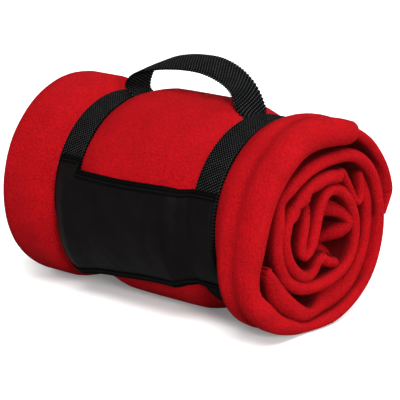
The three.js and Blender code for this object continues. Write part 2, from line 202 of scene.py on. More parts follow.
# Across the band: the sheet goes out and back four times, from one cut edge to the other.
fine_x = np.concatenate([
    np.linspace(-HALF_LENGTH, -110, 5)[:-1], np.linspace(-110, -84, 7)[:-1], np.linspace(-84, -60, 3)[:-1],
    np.linspace(-60, -36, 7)[:-1], np.linspace(-36, 36, 6)[:-1], np.linspace(36, 60, 7)[:-1],
    np.linspace(60, 84, 3)[:-1], np.linspace(84, 114, 11),
])
coarse_x = np.concatenate([fine_x[:-10:2], fine_x[-10:]])
ROWS = 288
ROUND = np.linspace(90, -90, 11)[1:-1]
sheet_across = []
for layer, (outwards, bend, depth) in enumerate([(1, "outer", 1), (-1, "cut", 1), (1, "inner", 1), (-1, None, 0)]):
    along_x = fine_x if layer in (0, 3) else coarse_x
    for x in along_x[::outwards]:
        sheet_across.append((layer, x, 0.0))
    if bend:
        for angle in ROUND:
            sheet_across.append((layer + 10, 0.0, angle))
COLUMNS = len(sheet_across)
pace_rows = np.linspace(0, pace[-1], ROWS)
run_rows = np.interp(pace_rows, pace, run)
run_grid = np.repeat(run_rows[:, None], COLUMNS, 1)
# The two outer layers stop short of the two inner ones, at both ends of the blanket.
for j, (layer, x, angle) in enumerate(sheet_across):
    if layer in (0, 1, 10):
        run_grid[:, j] = OUTER_START + run_rows * (1 - OUTER_SHORT / run[-1])


def at(line, column, where):
    return np.interp(where, run, line[:, column])


x_grid = np.zeros((ROWS, COLUMNS))
s_grid = np.zeros((ROWS, COLUMNS))
painted_light_grid = np.zeros((ROWS, COLUMNS))  # painted shade: how far a place lies open to the light, and isn't down between two folds; the cloth's colour is darkened where this is low
for j, (layer, x, angle) in enumerate(sheet_across):
    band, stand_back = at(near_line, 2, run_grid[:, j]), at(near_line, 3, run_grid[:, j])
    band_even = at(even_line, 2, run_grid[:, j])
    share = smooth(x, COURSE_STARTS, COURSE_WHOLE) if layer < 10 else (1.0 if layer != 11 else 0.0)
    thick = band * share + band_even * (1 - share)
    outermost = thick / 2 - CLOTH / 2
    inside = np.maximum(CLOTH * 0.53, outermost / 3)
    nose = outermost * 1.1 + CLOTH / 2
    tip = HALF_LENGTH - stand_back
    lifts = [outermost, -outermost, -inside, inside]
    turn = math.radians(angle)
    if layer < 10:
        reach = tip - nose
        if x > STRAP_EDGE:
            x_grid[:, j] = STRAP_EDGE + (x - STRAP_EDGE) * (reach - STRAP_EDGE) / (fine_x[-1] - STRAP_EDGE)
        else:
            x_grid[:, j] = x - CUT_STEPS[layer] * np.minimum(x, 0) / HALF_LENGTH
        s_grid[:, j] = lifts[layer]
    elif layer == 10:
        x_grid[:, j] = tip - nose + (nose - CLOTH / 2) * math.cos(turn)
        s_grid[:, j] = outermost * math.sin(turn)
    elif layer == 11:
        low, high = -outermost, -inside
        x_grid[:, j] = -HALF_LENGTH + 3.0 - (inside - CLOTH * 0.4) * math.cos(turn)
        s_grid[:, j] = (low + high) / 2 - (high - low) / 2 * math.sin(turn)
    else:
        x_grid[:, j] = tip - nose - 1.0 + (inside + 2.0) * math.cos(turn)
        s_grid[:, j] = -inside * math.sin(turn)
    # Painted shade: the further a place lies behind its fold's nose, the darker its colour; near the left-hand cut
    # ends nothing is darkened.
    painted_light_grid[:, j] = 1 - smooth(tip - x_grid[:, j], nose * 0.4, nose + 1.5)
painted_light_grid = np.maximum(painted_light_grid, 1 - smooth(x_grid + HALF_LENGTH, 2, 10))


def centre(where, x):
    share = smooth(x, COURSE_STARTS, COURSE_WHOLE)
    scale = cloth_radius(x) / BULGE_RADIUS
    place = [at(near_line, k, where) * share + at(even_line, k, where) * (1 - share) for k in (0, 1)]
    return np.stack(place, -1) * scale[..., None]


core = centre(run_grid, x_grid)
tangent = np.gradient(core, axis=0)
tangent /= np.linalg.norm(tangent, axis=-1, keepdims=True)
normal = np.stack([tangent[..., 1], -tangent[..., 0]], -1)
place = core + normal * s_grid[..., None] * (cloth_radius(x_grid) / BULGE_RADIUS)[..., None]
# The roll sags on the floor, and its ends spread low down at the front.
turn = np.degrees(np.arctan2(-place[..., 0], place[..., 1])) % 360
away = np.linalg.norm(place, axis=-1)
sag = END_SAG * smooth(x_grid, 85, 99) + FAR_SAG * smooth(-x_grid, 86, 112)
sag = sag * np.exp(-((turn - SAG_TURN) / SAG_SPREAD) ** 2)
away = away + sag * smooth(away, 68, 84)
# Its core is wrung a little between the ends, so that the folds close on each other.
wring = CORE_WRING * (1 - smooth(np.abs(x_grid), 0, 92)) * (1 - smooth(away, 20, 66))
place = on_turn(turn + wring, away)
middle = np.concatenate([x_grid[..., None], place], -1)


def sheet_mesh(name, middle, thickness):
    """A closed sheet of an even thickness about a grid of points, with rounded edges."""
    rows, columns = middle.shape[:2]
    across = np.cross(np.gradient(middle, axis=0), np.gradient(middle, axis=1))
    across /= np.linalg.norm(across, axis=-1, keepdims=True) + 1e-12
    top = middle + across * thickness / 2
    bottom = middle - across * thickness / 2
    rim_rows = np.concatenate([
        np.stack([np.zeros(columns, int), np.arange(columns)], -1),
        np.stack([np.arange(1, rows), np.full(rows - 1, columns - 1)], -1),
        np.stack([np.full(columns - 1, rows - 1), np.arange(columns - 2, -1, -1)], -1),
        np.stack([np.arange(rows - 2, 0, -1), np.zeros(rows - 2, int)], -1),
    ])
    edge = middle[rim_rows[:, 0], rim_rows[:, 1]]
    inner_r = np.clip(rim_rows[:, 0], 1, rows - 2)
    inner_c = np.clip(rim_rows[:, 1], 1, columns - 2)
    out = edge - middle[inner_r, inner_c]
    out /= np.linalg.norm(out, axis=-1, keepdims=True) + 1e-12
    rim = edge + out * thickness / 2
    verts = np.concatenate([top.reshape(-1, 3), bottom.reshape(-1, 3), rim])
    grid = np.arange(rows * columns).reshape(rows, columns)
    a, b, c, d = grid[:-1, :-1], grid[1:, :-1], grid[1:, 1:], grid[:-1, 1:]
    upper = np.stack([a, b, c, d], -1).reshape(-1, 4)
    lower = upper[:, ::-1] + rows * columns
    loop = grid[rim_rows[:, 0], rim_rows[:, 1]]
    nxt = np.roll(np.arange(len(loop)), -1)
    rim_id = 2 * rows * columns + np.arange(len(loop))
    side_a = np.stack([loop, loop[nxt], rim_id[nxt], rim_id], -1)
    side_b = np.stack([rim_id, rim_id[nxt], loop[nxt] + rows * columns, loop + rows * columns], -1)
    faces = np.concatenate([upper, lower, side_a, side_b])
    mesh = bpy.data.meshes.new(name)
    mesh.vertices.add(len(verts))
    mesh.vertices.foreach_set("co", verts.astype(np.float32).ravel())
    mesh.loops.add(len(faces) * 4)
    mesh.loops.foreach_set("vertex_index", faces.astype(np.int32).ravel())
    mesh.polygons.add(len(faces))
    mesh.polygons.foreach_set("loop_start", np.arange(0, len(faces) * 4, 4, dtype=np.int32))
    mesh.polygons.foreach_set("use_smooth", np.ones(len(faces), bool))
    mesh.update(calc_edges=True)
    mesh.validate()
    return mesh, verts


middle[..., 2] += ROLL_Z
mesh, verts = sheet_mesh("blanket", middle, CLOTH)
low = verts[:, 2] < FLOOR_PRESS
verts[low, 2] = FLOOR_PRESS * np.exp((verts[low, 2] - FLOOR_PRESS) / FLOOR_PRESS)
mesh.vertices.foreach_set("co", (verts * MM).astype(np.float32).ravel())
mesh.update()
# Painted shade: the roll's outer surface keeps its full colour except for a darker band painted along the crease
# round the right-hand end; elsewhere the cloth is darkened as far as it lies down between the folds, and its rims a
# little. The attribute carries this to the material.
turn = np.degrees(np.arctan2(-verts[:, 1], verts[:, 2] - ROLL_Z)) % 360
skin = cloth_radius(verts[:, 0]) * np.interp(turn, [190, 262, 264.5, 266], [1, 0.85, 0.85, 1])
outside = smooth(np.hypot(verts[:, 1], verts[:, 2] - ROLL_Z) / skin, 0.90, 0.96)
outside = outside * (1 - 0.35 * np.exp(-((verts[:, 0] - CREASE_X) / 3) ** 2))
rim_painted_light = np.full(len(verts) - 2 * painted_light_grid.size, 0.8)
painted_light_share = np.maximum(outside, np.concatenate([painted_light_grid.ravel(), painted_light_grid.ravel(), rim_painted_light]))
mesh.attributes.new("painted_light_share", "FLOAT", "POINT").data.foreach_set("value", painted_light_share.astype(np.float32))
blanket = bpy.data.objects.new("blanket_sheet", mesh)
bpy.context.scene.collection.objects.link(blanket)


def node_group(name, inputs, outputs):
    """An empty shader group with named value inputs and outputs, and its two end nodes."""
    group = bpy.data.node_groups.new(name, "ShaderNodeTree")
    for label, kind, value in inputs:
        socket = group.interface.new_socket(label, in_out="INPUT", socket_type=kind)
        if value is not None:
            socket.default_value = value
    for label, kind in outputs:
        group.interface.new_socket(label, in_out="OUTPUT", socket_type=kind)
    return group, group.nodes.new("NodeGroupInput"), group.nodes.new("NodeGroupOutput")


def noise(tree, vector, scale, detail=3.0, roughness=0.6):
    node = tree.nodes.new("ShaderNodeTexNoise")
    node.inputs["Scale"].default_value = scale
    node.inputs["Detail"].default_value = detail
    node.inputs["Roughness"].default_value = roughness
    tree.links.new(vector, node.inputs["Vector"])
    return node.outputs["Fac"]


def maths(tree, operation, *values):
    """A chain of one operation over sockets and numbers."""
    total = values[0]
    for value in values[1:] or (None,):
        node = tree.nodes.new("ShaderNodeMath")
        node.operation = operation
        for socket, given in zip(node.inputs, (total, value)):
            if isinstance(given, (int, float)):
                socket.default_value = given
            elif given is not None:
                tree.links.new(given, socket)
        total = node.outputs[0]
    return total


def stretch(tree, value, low, high):
    node = tree.nodes.new("ShaderNodeMapRange")
    node.inputs["From Min"].default_value = low
    node.inputs["From Max"].default_value = high
    tree.links.new(value, node.inputs["Value"])
    return node.outputs["Result"]


def material(name, roughness, **constants):
    """A material with its Principled shader, set to a roughness and any other given constants."""
    made = bpy.data.materials.new(name)
    made.use_nodes = True
    shader = made.node_tree.nodes["Principled BSDF"]
    shader.inputs["Roughness"].default_value = roughness
    for label, value in constants.items():
        shader.inputs[label.replace("_", " ")].default_value = value
    return made, made.node_tree, shader


def colour_by(tree, mask, dark, light, socket):
    mix = tree.nodes.new("ShaderNodeMix")
    mix.data_type = "RGBA"
    mix.inputs["A"].default_value = dark
    mix.inputs["B"].default_value = light
    tree.links.new(mask, mix.inputs["Factor"])
    tree.links.new(mix.outputs["Result"], socket)


def raise_by(tree, height, distance, shader, strength=1.0):
    bump = tree.nodes.new("ShaderNodeBump")
    bump.inputs["Strength"].default_value = strength
    bump.inputs["Distance"].default_value = distance
    tree.links.new(height, bump.inputs["Height"])
    tree.links.new(bump.outputs["Normal"], shader.inputs["Normal"])


FIBRE_GRAIN, TUFT_GRAIN, PATCH_GRAIN = 1500, 560, 45  # noise scales, per metre

# Brushed pile: short fibres that clump into small tufts, over broad patches where the nap lies differently.
pile, pile_in, pile_out = node_group(
    "brushed_pile",
    [("Vector", "NodeSocketVector", None)],
    [("Shade", "NodeSocketFloat"), ("Height", "NodeSocketFloat")],
)
where = pile_in.outputs["Vector"]
fibres = noise(pile, where, FIBRE_GRAIN, 3, 0.7)
tufts = noise(pile, where, TUFT_GRAIN, 4, 0.65)
patches = noise(pile, where, PATCH_GRAIN, 3, 0.55)
pile.links.new(maths(pile, "ADD", maths(pile, "MULTIPLY", fibres, 0.45), tufts), pile_out.inputs["Height"])
weights = maths(pile, "ADD", maths(pile, "MULTIPLY", tufts, 0.5), maths(pile, "MULTIPLY", fibres, 0.3),
                maths(pile, "MULTIPLY", patches, 0.2))
pile.links.new(stretch(pile, weights, 0.40, 0.60), pile_out.inputs["Shade"])

fleece, tree, shader = material("red_fleece", 0.95, Sheen_Weight=0.12, Sheen_Roughness=0.45,
                                Sheen_Tint=(1.0, 0.05, 0.06, 1), Specular_IOR_Level=0.03)
own = tree.nodes.new("ShaderNodeTexCoord").outputs["Object"]
nap = tree.nodes.new("ShaderNodeGroup")
nap.node_tree = pile
tree.links.new(own, nap.inputs["Vector"])
# Painted shade: the attribute darkens the colour towards the darker one down between the folds and in the crease.
painted_light_share = tree.nodes.new("ShaderNodeAttribute")
painted_light_share.attribute_name = "painted_light_share"
tufted = maths(tree, "ADD", maths(tree, "MULTIPLY", nap.outputs["Shade"], 0.42), 0.56)
colour_by(tree, maths(tree, "MULTIPLY", tufted, painted_light_share.outputs["Fac"]), FLEECE_DARK_TONE_AND_SHADE, FLEECE_RED,
          shader.inputs["Base Color"])
raise_by(tree, nap.outputs["Height"], 0.006, shader, 1.0)
mesh.materials.append(fleece)
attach(blanket, "harness_and_blanket")
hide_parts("blanket")

# ---- straps ----
# Two loops of 25 mm polypropylene webbing, woven in a coarse twill with a ridged edge. Each goes round the roll
# from behind the top and ends at the back, under its own tail.

WEBBING = 25.0
WEBBING_THICKNESS = 1.8
STRAP_MIDDLE = 74.2
STRAP_ENDS = (-52.0, 306.3)
PICK = 2.6  # one weft thread of the webbing
WARP = 1.5  # one warp thread
TWILL_STEP = 0.36  # how far the weave climbs from one warp thread to the next
GRAIN_EDGE = 14.0  # how narrow the painted highlight on each grain is
RIDGES = (0.75, -0.45)  # how far the edge stands out and draws in, pick by pick
# The webbing's own colour is black; the lighter colour is a painted highlight, put on the tops of the weave's
# grains.
WEBBING_BLACK = (0.0008, 0.0007, 0.0007, 1)
WEBBING_GLINT = (0.18, 0.188, 0.195, 1)


def on_roll(x, turn, radius):
    """Points on the roll, in millimetres, from places along it, turns from the top to the front and radii."""
    x, turn, radius = np.broadcast_arrays(x, turn, radius)
    yz = on_turn(turn, radius)
    return np.stack([x, yz[..., 0], yz[..., 1] + ROLL_Z], -1)


def even_steps(points, step):
    """Points one step apart along a curve, with anything that belongs to them, and their distances."""
    length = np.concatenate([[0], np.cumsum(np.linalg.norm(np.diff(points[:, :3], axis=0), axis=1))])
    wanted = np.linspace(0, length[-1], max(2, int(round(length[-1] / step)) + 1))
    return np.stack([np.interp(wanted, length, column) for column in points.T], -1), wanted


def put(name, mesh, finish, body, nodes=()):
    """Puts a mesh in the scene with its material, body and the nodes that it stands for."""
    piece = bpy.data.objects.new(name, mesh)
    bpy.context.scene.collection.objects.link(piece)
    mesh.materials.append(finish)
    if body:
        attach(piece, body)
    if nodes:
        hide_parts(*nodes)
    return piece


def weave_mesh(name, grid, thickness, across, along):
    """A closed band about a grid of points, which keeps its places across and along for the weave."""
    mesh, verts = sheet_mesh(name, grid, thickness)
    rows, columns = grid.shape[:2]
    place = np.stack([*np.broadcast_arrays(across[None, :], along[:, None]), np.zeros((rows, columns))], -1)
    rim = np.concatenate([place[0], place[1:, -1], place[-1, -2::-1], place[-2:0:-1, 0]])
    side = np.concatenate([np.zeros(rows * columns), np.ones(rows * columns), np.full(len(rim), 0.5)])
    weave = np.concatenate([place.reshape(-1, 3), place.reshape(-1, 3), rim])
    weave[:, 2] = side
    layer = mesh.attributes.new("weave", "FLOAT_VECTOR", "POINT")
    layer.data.foreach_set("vector", weave.astype(np.float32).ravel())
    mesh.vertices.foreach_set("co", (verts * MM).astype(np.float32).ravel())
    mesh.update()
    return mesh


def webbing_band(name, line, step=1.3):
    """Webbing about a line of (x, y, z, width direction, crown): a ridged edge and a slightly hollow face."""
    line, along = even_steps(line, step)
    centre, width, crown = line[:, :3], line[:, 3:6], line[:, 6]
    width = width / np.linalg.norm(width, axis=1, keepdims=True)
    heading = np.gradient(centre, axis=0)
    face = np.cross(heading, width)
    face /= np.linalg.norm(face, axis=1, keepdims=True)
    half = WEBBING / 2 - WEBBING_THICKNESS / 2
    across = np.array([-1, -0.8, -0.45, 0, 0.45, 0.8, 1]) * half
    ridge = np.where(np.arange(len(along)) % 2, *RIDGES)
    spread = across[None, :] + np.sign(across)[None, :] * (np.abs(across) > half - 0.1)[None, :] * ridge[:, None]
    fall = crown[:, None] * (across[None, :] / half) ** 2
    grid = centre[:, None] + spread[..., None] * width[:, None] - fall[..., None] * face[:, None]
    return weave_mesh(name, grid, WEBBING_THICKNESS, across, along)


# Coarse twill: each weft thread shows as a row of grains that climb across the webbing. The grains' tops carry a
# painted highlight on the black, stronger in random patches.
twill, twill_in, twill_out = node_group(
    "webbing_twill",
    [("Place", "NodeSocketVector", None), ("Pick", "NodeSocketFloat", PICK), ("Glint Patches", "NodeSocketFloat", 0.5)],
    [("Shade", "NodeSocketFloat"), ("Height", "NodeSocketFloat")],
)
split = twill.nodes.new("ShaderNodeSeparateXYZ")
twill.links.new(twill_in.outputs["Place"], split.inputs[0])
warp = maths(twill, "DIVIDE", split.outputs["X"], WARP)
weft = maths(twill, "ADD", maths(twill, "DIVIDE", split.outputs["Y"], twill_in.outputs["Pick"]),
             maths(twill, "MULTIPLY", maths(twill, "FLOOR", warp), TWILL_STEP))
grain_x = maths(twill, "SINE", maths(twill, "MULTIPLY", maths(twill, "FRACT", warp), math.pi))
grain_y = maths(twill, "SINE", maths(twill, "MULTIPLY", maths(twill, "FRACT", weft), math.pi))
grain = maths(twill, "MULTIPLY", maths(twill, "POWER", grain_x, 0.6), maths(twill, "POWER", grain_y, 0.8))
hairs = noise(twill, twill_in.outputs["Place"], 3.0, 2, 0.6)
twill.links.new(maths(twill, "ADD", grain, maths(twill, "MULTIPLY", hairs, 0.25)), twill_out.inputs["Height"])
glint_patches = maths(twill, "MULTIPLY", stretch(twill, noise(twill, twill_in.outputs["Place"], 0.12, 2, 0.6), 0.3, 0.8),
             twill_in.outputs["Glint Patches"])
twill.links.new(maths(twill, "MULTIPLY", maths(twill, "POWER", grain, GRAIN_EDGE), maths(twill, "ADD", glint_patches, 0.35)),
                twill_out.inputs["Shade"])


def webbing_finish(name, glint=WEBBING_GLINT, pick=PICK, glint_patch_share=0.5, depth=0.0009):
    made, tree, shader = material(name, 0.75, Specular_IOR_Level=0.02)
    place = tree.nodes.new("ShaderNodeAttribute")
    place.attribute_name = "weave"
    weave = tree.nodes.new("ShaderNodeGroup")
    weave.node_tree = twill
    weave.inputs["Pick"].default_value = pick
    weave.inputs["Glint Patches"].default_value = glint_patch_share
    tree.links.new(place.outputs["Vector"], weave.inputs["Place"])
    colour_by(tree, weave.outputs["Shade"], WEBBING_BLACK, glint, shader.inputs["Base Color"])
    raise_by(tree, weave.outputs["Height"], depth, shader)
    return made


webbing = webbing_finish("black_webbing")
turns = np.arange(STRAP_ENDS[0], STRAP_ENDS[1], 2.0)
for side, name in ((-1, "left"), (1, "right")):
    ring = on_roll(side * STRAP_X, turns, STRAP_MIDDLE)
    line = np.hstack([ring, np.tile([1.0, 0, 0, 0], (len(ring), 1))])
    put(f"{name}_strap_webbing", webbing_band(f"{name}_strap", line), webbing, "harness_and_blanket",
        [f"{name}_strap"])

# ---- hook and loop closures ----
# A loop tape is sewn on each strap's lower end at the back, and a hook tape inside the tail that laps over it.
# The tail is a second length of webbing, sewn on the strap behind the top.

TAPE_WIDTH = 22.0
TAPE_THICKNESS = 0.8
LOOP_RADIUS, HOOK_RADIUS = 75.85, 77.05
TAIL_LINE = [(-38, 76.35), (-44, 76.35), (-50, 76.5), (-53.5, 77.6), (-57, 78.5), (-60, 78.7), (-90, 78.7),
             (-118, 78.7), (-122.6, 78.9)]
TAIL_BEND_TURNS = (-49.0, -57.5)  # two turns near the tail's stitched end, from which the script works out a point that nothing uses
TAIL_BEND_RADIUS = 78.0
LOOP_TURNS = (-119.5, -58.9)
HOOK_TURNS = (-107.9, -58.9)
TAPE_BLACK = (0.008, 0.008, 0.009, 1)
TAPE_GREY = (0.03, 0.03, 0.033, 1)

tape, tree, shader = material("fastener_tape", 0.95, Specular_IOR_Level=0.2)
own = tree.nodes.new("ShaderNodeTexCoord").outputs["Object"]
nap = tree.nodes.new("ShaderNodeGroup")
nap.node_tree = pile
tree.links.new(own, nap.inputs["Vector"])
colour_by(tree, nap.outputs["Shade"], TAPE_BLACK, TAPE_GREY, shader.inputs["Base Color"])
raise_by(tree, nap.outputs["Height"], 0.0008, shader)


def tape_band(name, x_middle, turns, radius, thickness):
    """Tape that follows the roll, its surface rippled a little in tufts."""
    across = np.linspace(-1, 1, 12) * (TAPE_WIDTH / 2 - thickness / 2)
    turn = np.arange(turns[0], turns[1], 1.2)
    along = np.radians(turn - turn[0]) * radius
    tufts = np.sin(3.1 * along[:, None] + 1.7 * across[None, :]) * np.cos(2.3 * across[None, :] + along[:, None])
    grid = on_roll(x_middle + across[None, :], turn[:, None], radius + 0.08 * tufts)
    return weave_mesh(name, grid, thickness, across, along)


tail_line = through(TAIL_LINE, 8)
for side, name in ((-1, "left"), (1, "right")):
    body = f"{name}_tail"
    ring = on_roll(side * STRAP_X, tail_line[:, 0], tail_line[:, 1])
    line = np.hstack([ring, np.tile([-1.0, 0, 0, 0], (len(ring), 1))])
    tail = put(f"{name}_tail_webbing", webbing_band(f"{name}_tail", line), webbing, None,
               [f"{name}_strap_tail"])
    root = on_roll(side * STRAP_X, np.array(TAIL_BEND_TURNS), TAIL_BEND_RADIUS) * MM
    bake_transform(tail)
    loop = tape_band(f"{name}_loop", side * STRAP_X, LOOP_TURNS, LOOP_RADIUS, TAPE_THICKNESS)
    put(f"{name}_loop_pile", loop, tape, "harness_and_blanket", [f"{name}_loop_tape"])
    hook = tape_band(f"{name}_hook", side * STRAP_X, HOOK_TURNS, HOOK_RADIUS, TAPE_THICKNESS)
    put(f"{name}_hook_pile", hook, tape, body, [f"{name}_hook_tape"])

# ---- carry handle ----
# One length of the same webbing. Its ends are sewn flat under the straps, and between them it stands up in an arch
# that leans to the front and twists a little at its right-hand leg.

HANDLE_LINE = [
    # x, z, lean to the front, yaw, crown
    (-83.2, 152.9, 0, 0, 1.05), (-73, 152.9, 0, 0, 1.05), (-65, 152.9, 0, 0, 1.0), (-60.6, 153.3, 0, 0, 0.8),
    (-58.8, 155.2, 0, 0, 0.5), (-60.3, 157.8, 0, 0, 0.3), (-63.0, 159.8, 0, 6, 0.2), (-63.9, 163.4, 0, 12, 0.1),
    (-62, 168.8, 2, 10, 0.2), (-58, 174.2, 5, 5, 0.4), (-51.7, 178.5, 9, 0, 0.5), (-44, 181.2, 13, 0, 0.5),
    (-31, 185.3, 17, 0, 0.6),
    (-15, 188.2, 20, 0, 0.7), (0, 189.4, 21, 0, 0.8), (14, 189, 22, 0, 0.7), (26, 186.6, 22, 1, 0.6),
    (37, 182.4, 19, 3, 0.5), (45.5, 176.6, 12, 10, 0.4), (50.6, 170, 5, 20, 0.3), (53.8, 163, 2, 27, 0.2),
    (56.6, 158.6, 0, 20, 0.3), (58.8, 155.2, 0, 6, 0.5), (60.8, 153.4, 0, 0, 0.8), (65, 152.9, 0, 0, 1.0),
    (73, 152.9, 0, 0, 1.05), (83.2, 152.9, 0, 0, 1.05),
]

knots = np.array(HANDLE_LINE)
lean, yaw = np.radians(knots[:, 2]), np.radians(knots[:, 3])
width = np.stack([np.sin(yaw), np.cos(yaw) * np.cos(lean), np.sin(lean)], -1)
line = np.column_stack([knots[:, 0], np.zeros(len(knots)), knots[:, 1], width, knots[:, 4]])
handle = put("carry_handle_webbing", webbing_band("carry_handle", through(line, 10)), webbing, None,
             ["carry_handle", "handle_left_foot", "handle_right_foot"])
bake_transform(handle)

# ---- front panel ----
# Smooth coated nylon, sewn over both straps at the front. It is pulled tight across the straps and hangs a little
# slack between them, with a deep tuck beside the right-hand strap.

PANEL_CUT = (0.1645, 0.088)
PANEL_X = (-80.75, 83.75)
PANEL_TURNS = (66.0, 132.0)
PANEL_THICKNESS = 0.7
PANEL_LIFT = 80  # the panel's mean radius, for arcs along it
NYLON_BLACK = (0.001, 0.0007, 0.0007, 1)
NYLON_SHEEN = (0.004, 0.003, 0.003, 1)


def panel_top(x):
    """The turn of the panel's upper edge: high over the straps and drawn down between them."""
    drop = 7.2 * smooth(x, -61, -55) - 1.4 * smooth(x, -20, 50) - 1.8 * smooth(x, 48, 62)
    return PANEL_TURNS[0] - 2.5 + drop + 0.6 * np.sin(np.clip((x + 60) / 120, 0, 1) * math.pi)


def panel_bottom(x):
    return PANEL_TURNS[1] + 3 * smooth(-x, 30, 75) - 5.5 * smooth(x, -60, 30)


def edge_pull(x, turn):
    """The panel's left edge is drawn in below its ear, so that some of the strap shows beside it."""
    pull = 4.2 * smooth(turn, 66, 80) - 5.5 * smooth(turn, 96, 130)
    return pull * (1 - smooth(x, PANEL_X[0], -60))


def panel_radius(x, turn):
    """How far the panel's middle stands from the roll's axis."""
    down = (turn - PANEL_TURNS[0]) / (PANEL_TURNS[1] - PANEL_TURNS[0])
    ear = 1 - smooth(turn, 66, 78)
    field = (smooth(x, -62, -46) * ear + smooth(x, -88, -64) * (1 - ear)) * (1 - smooth(x, 38, 57))
    radius = 76.6 + 8.3 * field + 3.5 * smooth(down, 0.4, 1) * (1 - smooth(x, -76, -40))
    radius = radius - 1.2 * np.exp(-((x - 57.5) / 3.0) ** 2) * np.sin(np.clip(down, 0, 1) * math.pi)
    radius = radius + 0.5 * field * np.sin(x / 17 + 3 * down) * np.sin(down * 2.4 * math.pi)
    radius = radius + 0.9 * field * np.exp(-((x - 30 + 26 * down) / 6) ** 2 - ((down - 0.22) / 0.2) ** 2)
    return np.maximum(radius, cloth_radius(x) + 1.2)


xs = np.linspace(*PANEL_X, 96)
downs = np.linspace(0, 1, 40)
X, D = np.meshgrid(xs, downs, indexing="ij")
T = panel_top(X) + (panel_bottom(X) - panel_top(X)) * D
X = X + edge_pull(X, T)
panel_grid = on_roll(X, T, panel_radius(X, T))
panel_mesh = weave_mesh("front_panel", panel_grid, PANEL_THICKNESS, downs * PANEL_CUT[1] / MM, xs)
nylon, tree, shader = material("coated_nylon", 0.5, Specular_IOR_Level=0.05)
own = tree.nodes.new("ShaderNodeTexCoord").outputs["Object"]
# The noise both rumples the nylon's surface and paints a faint sheen into its colour, lighter in random patches.
rumple_and_sheen = noise(tree, own, 60, 3, 0.5)
colour_by(tree, rumple_and_sheen, NYLON_BLACK, NYLON_SHEEN, shader.inputs["Base Color"])
raise_by(tree, rumple_and_sheen, 0.002, shader, 0.5)
panel = put("front_panel_nylon", panel_mesh, nylon, "harness_and_blanket", ["front_panel"])

# ---- bindings ----
# Fine ribbed grosgrain tape, folded over the panel's upper and lower edges so that it covers 5.6 mm of each face.
# One row of stitches near the tape's inner edge goes through both its sides and the nylon.

BINDING = 5.6
BINDING_THICKNESS = 0.5
# Painted highlight on the tops of the tape's fine ribs, fainter than the webbing's.
BINDING_GLINT = (0.02, 0.02, 0.021, 1)

grosgrain = webbing_finish("grosgrain_binding", BINDING_GLINT, 1.0, 0.3, 0.0001)
for name, edge, sense in (("top", panel_top, 1), ("bottom", panel_bottom, -1)):
    fold = np.array([(BINDING, -0.75), (BINDING * 0.5, -0.75), (0.3, -0.75), (-0.35, -0.55), (-0.6, 0),
                     (-0.35, 0.6), (0.3, 0.85), (BINDING * 0.5, 0.85), (BINDING, 0.8)])
    X, K = np.meshgrid(xs, np.arange(len(fold)), indexing="ij")
    T = edge(X) + sense * np.degrees(fold[K, 0] / PANEL_LIFT)
    grid = on_roll(X + edge_pull(X, T), T, panel_radius(X, T) + fold[K, 1])
    tape_mesh = weave_mesh(f"panel_{name}", grid, BINDING_THICKNESS, np.arange(len(fold)) * 2.0, xs)
    put(f"panel_{name}_tape", tape_mesh, grosgrain, "harness_and_blanket", [f"panel_{name}_binding"])

# ---- thread ----
# Bonded polyester thread in lockstitch, which holds the bindings, the panel's sides, the handle's ends and the
# tails. Each stitch is a short bead that dips into the cloth at both ends.

STITCH = 3.0
THREAD = 0.5
THREAD_BLACK = (0.002, 0.002, 0.002, 1)
THREAD_LIGHT = (0.009, 0.009, 0.0095, 1)
THREAD_SIDES = 6
HANDLE_BOX, HANDLE_BOX_TURN, HANDLE_THREAD_RADIUS = 8, 7, 75.3  # half the box along the roll, and round it
TAIL_BOX, TAIL_BOX_TURNS, TAIL_THREAD_RADIUS = 9.5, (-106, -61), 79.75
SEAM_INSET = 1.6  # of the binding's seam, from the tape's inner edge
SIDE_SEAM = 3  # of the panel's side seams, from its cut edges

thread, tree, shader = material("black_thread", 0.6, Specular_IOR_Level=0.08)
own = tree.nodes.new("ShaderNodeTexCoord").outputs["Object"]
colour_by(tree, noise(tree, own, 2500, 2, 0.6), THREAD_BLACK, THREAD_LIGHT, shader.inputs["Base Color"])
raise_by(tree, noise(tree, own, 4000, 2, 0.6), 0.0002, shader)


def sewn(name, lines, body, nodes):
    """Rows of stitches along lines of (x, turn, radius)."""
    verts, faces = [], []
    shape = np.array([(0.04, -0.35, 0.5), (0.14, 0.0, 0.9), (0.5, 0.2, 1.0), (0.86, 0.0, 0.9), (0.96, -0.35, 0.5)])
    for line in lines:
        line = np.asarray(line, float)
        fine = np.stack([np.interp(np.linspace(0, len(line) - 1, 200), np.arange(len(line)), c) for c in line.T], -1)
        points = on_roll(*fine.T)
        points, _ = even_steps(points, STITCH)
        for start, end in zip(points[:-1], points[1:]):
            heading = end - start
            heading /= np.linalg.norm(heading)
            middle = (start + end) / 2
            up = np.array([0, middle[1], middle[2] - ROLL_Z])
            up -= heading * up.dot(heading)
            up /= np.linalg.norm(up)
            aside = np.cross(heading, up)
            base = len(verts)
            for share, lift, girth in shape:
                hub = start + (end - start) * share + up * lift
                for k in range(THREAD_SIDES):
                    angle = 2 * math.pi * k / THREAD_SIDES
                    verts.append((hub + (aside * math.cos(angle) + up * math.sin(angle)) * THREAD / 2 * girth) * MM)
            for ring in range(len(shape) - 1):
                for k in range(THREAD_SIDES):
                    a, b = base + ring * THREAD_SIDES + k, base + ring * THREAD_SIDES + (k + 1) % THREAD_SIDES
                    faces.append((a, b, b + THREAD_SIDES, a + THREAD_SIDES))
            faces.append(tuple(base + k for k in reversed(range(THREAD_SIDES))))
            last = base + (len(shape) - 1) * THREAD_SIDES
            faces.append(tuple(last + k for k in range(THREAD_SIDES)))
    mesh = bpy.data.meshes.new(name)
    mesh.from_pydata([tuple(v) for v in verts], [], faces)
    mesh.polygons.foreach_set("use_smooth", np.ones(len(mesh.polygons), bool))
    return put(name, mesh, thread, body, nodes)


